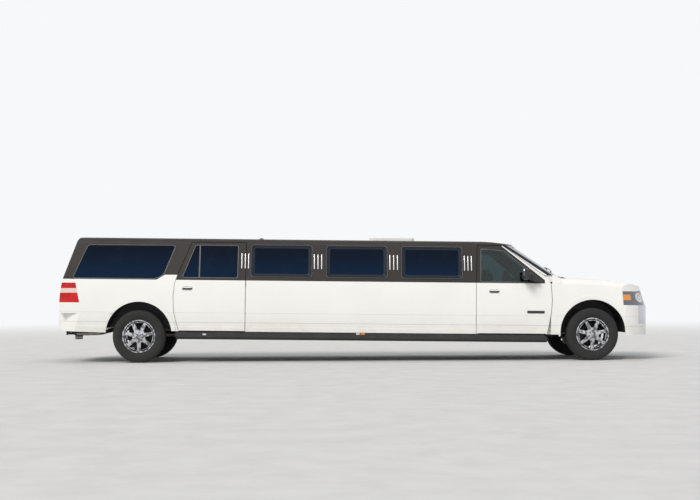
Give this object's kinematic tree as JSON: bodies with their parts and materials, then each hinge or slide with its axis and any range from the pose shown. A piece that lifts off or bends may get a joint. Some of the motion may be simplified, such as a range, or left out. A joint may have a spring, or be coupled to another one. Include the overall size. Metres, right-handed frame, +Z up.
{
  "type": "stretch limousine",
  "caption": "White stretch limousine on a long sport-utility body: dark roof and glasshouse, side doors, hood and liftgate that open, steering front wheels.",
  "frame": {"origin": "On the ground under the middle of the vehicle's length and width.", "axes": "+X forward along the vehicle, +Y to its left, +Z up."},
  "size_m": [9.1813, 2.41, 1.9307],
  "materials": {
    "body_paint": "gloss",
    "roof_vinyl": "satin",
    "window_glass": "tinted",
    "front_glass": "clear, slightly green",
    "black_plastic": "satin",
    "chrome": "polished",
    "lamp_clear": "gloss",
    "lamp_red": "gloss",
    "frame_black": "satin",
    "cast_iron": "rough",
    "tyre": "matte",
    "seat_leather": "satin",
    "trim_dark": "satin",
    "wood_dark": "satin",
    "steel": "satin"
  },
  "bodies": {
    "car": {"front_fenders": "body_paint", "cowl": "black_plastic", "windshield_frame": "body_paint", "windshield": "front_glass", "roof_panel": "roof_vinyl", "roof_rails": "roof_vinyl", "roof_hatch": "body_paint", "stretch_panels": "body_paint", "quarter_panels": "body_paint", "window_frames": "roof_vinyl", "side_windows": "window_glass", "grille": "chrome", "headlights": "lamp_clear", "front_bumper": "body_paint", "front_bumper_bar": "chrome", "rear_bumper": "body_paint", "tail_lights": "lamp_red", "running_boards": "black_plastic", "floor_pan": "frame_black", "wheel_liners": "black_plastic", "chassis_frame": "frame_black", "radiator_support": "frame_black", "engine_block": "cast_iron", "fuel_tank": "black_plastic", "exhaust": "steel", "driveline": "steel", "suspension": "frame_black", "hitch_receiver": "frame_black", "front_seats": "seat_leather", "dashboard": "trim_dark", "steering_wheel": "trim_dark", "partition": "trim_dark", "lounge_seats": "seat_leather", "bar_cabinet": "wood_dark"},
    "right_front_door": {"right_front_door": "body_paint", "right_front_door_glass": "front_glass", "right_mirror": "black_plastic"},
    "right_rear_door": {"right_rear_door": "body_paint", "right_rear_door_glass": "window_glass"},
    "right_front_knuckle": {"right_front_knuckle": "cast_iron"},
    "right_front_wheel": {"right_front_rim": "chrome", "right_front_tyre": "tyre"},
    "right_rear_wheel": {"right_rear_rim": "chrome", "right_rear_tyre": "tyre"},
    "left_front_door": {"left_front_door": "body_paint", "left_front_door_glass": "front_glass", "left_mirror": "black_plastic"},
    "left_rear_door": {"left_rear_door": "body_paint", "left_rear_door_glass": "window_glass"},
    "left_front_knuckle": {"left_front_knuckle": "cast_iron"},
    "left_front_wheel": {"left_front_rim": "chrome", "left_front_tyre": "tyre"},
    "left_rear_wheel": {"left_rear_rim": "chrome", "left_rear_tyre": "tyre"},
    "hood": {"hood": "body_paint"},
    "liftgate": {"liftgate": "body_paint", "liftgate_glass": "window_glass"}
  },
  "joints": [
    {"name": "right_front_door_hinge", "type": "hinge", "parent": "car", "child": "right_front_door", "pos_m": [2.93089, -0.975, 0.78663], "axis": [0.014, 0, 0.9999], "range_deg": [0, 65]},
    {"name": "right_rear_door_hinge", "type": "hinge", "parent": "car", "child": "right_rear_door", "pos_m": [-1.72965, -0.975, 0.85171], "axis": [0.014, 0, 0.9999], "range_deg": [0, 65]},
    {"name": "left_front_door_hinge", "type": "hinge", "parent": "car", "child": "left_front_door", "pos_m": [2.93089, 0.975, 0.78663], "axis": [-0.014, 0, -0.9999], "range_deg": [0, 65]},
    {"name": "left_rear_door_hinge", "type": "hinge", "parent": "car", "child": "left_rear_door", "pos_m": [-1.72965, 0.975, 0.85171], "axis": [-0.014, 0, -0.9999], "range_deg": [0, 65]},
    {"name": "hood_hinge", "type": "hinge", "parent": "car", "child": "hood", "pos_m": [3.26072, 0, 1.27307], "axis": [0, -1, 0], "range_deg": [0, 50]},
    {"name": "liftgate_hinge", "type": "hinge", "parent": "car", "child": "liftgate", "pos_m": [-4.10997, 0, 1.92004], "axis": [0, 1, 0], "range_deg": [0, 82]},
    {"name": "right_steering", "type": "hinge", "parent": "car", "child": "right_front_knuckle", "pos_m": [3.6235, -0.7465, 0.398], "axis": [0, 0, 1], "range_deg": [-33, 33]},
    {"name": "left_steering", "type": "hinge", "parent": "car", "child": "left_front_knuckle", "pos_m": [3.6235, 0.7465, 0.398], "axis": [0, 0, 1], "range_deg": [-33, 33]},
    {"name": "right_front_wheel_spin", "type": "hinge", "parent": "right_front_knuckle", "child": "right_front_wheel", "pos_m": [3.6235, -0.8515, 0.398], "axis": [0, 1, 0], "continuous": true},
    {"name": "right_rear_wheel_spin", "type": "hinge", "parent": "car", "child": "right_rear_wheel", "pos_m": [-3.2595, -0.8515, 0.398], "axis": [0, 1, 0], "continuous": true},
    {"name": "left_front_wheel_spin", "type": "hinge", "parent": "left_front_knuckle", "child": "left_front_wheel", "pos_m": [3.6235, 0.8515, 0.398], "axis": [0, 1, 0], "continuous": true},
    {"name": "left_rear_wheel_spin", "type": "hinge", "parent": "car", "child": "left_rear_wheel", "pos_m": [-3.2595, 0.8515, 0.398], "axis": [0, 1, 0], "continuous": true}
  ],
  "couplings": [
    {"joint": "left_steering", "follows": "right_steering", "ratio": 1}
  ]
}
